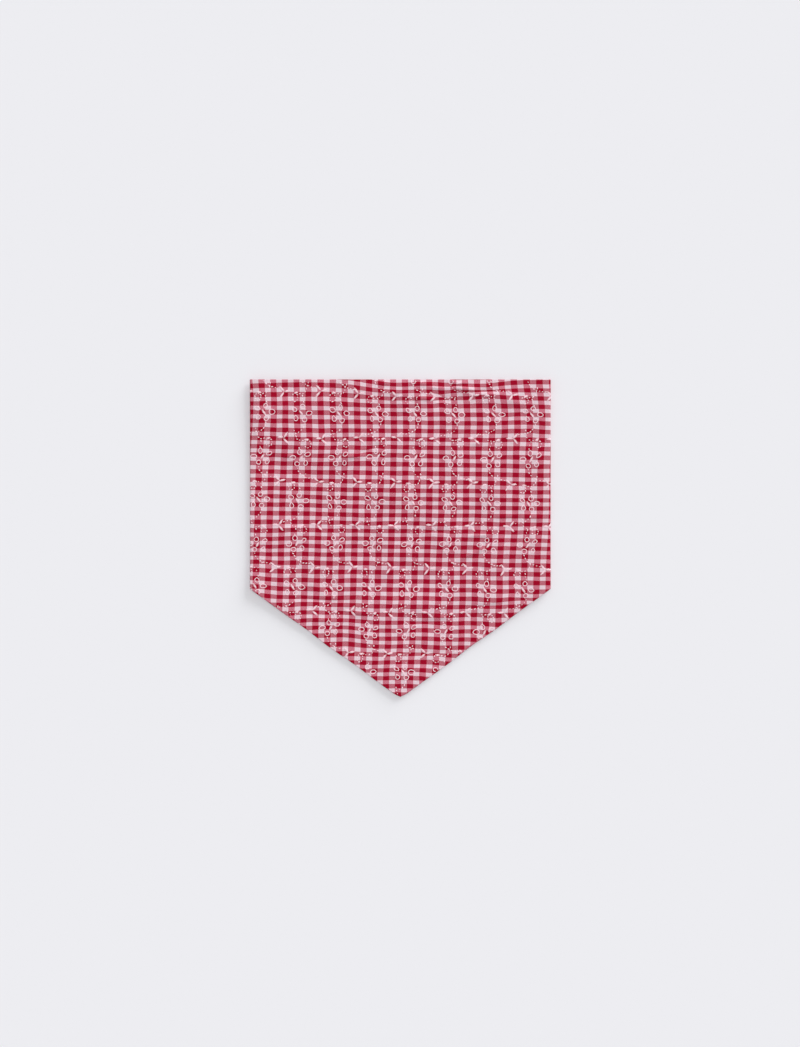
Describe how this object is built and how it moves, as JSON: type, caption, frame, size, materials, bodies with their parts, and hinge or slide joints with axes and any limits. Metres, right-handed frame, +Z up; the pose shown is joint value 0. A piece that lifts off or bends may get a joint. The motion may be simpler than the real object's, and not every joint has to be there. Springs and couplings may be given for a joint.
{
  "type": "folded triangle scarf",
  "caption": "Triangle head scarf of light checked cotton with small stitched flowers, lying flat with both side corners folded behind a five-cornered panel.",
  "frame": {"origin": "centre of the folded panel, on the surface that it lies on", "axes": "+X to the right of the panel, +Y up to its straight top edge, +Z up from the surface"},
  "size_m": [0.247, 0.2611, 0.0062],
  "materials": {
    "cotton": "light plain weave cotton, red and white woven check, small flowers stitched in pale thread"
  },
  "bodies": {
    "root": {"scarf": "cotton"}
  },
  "joints": []
}
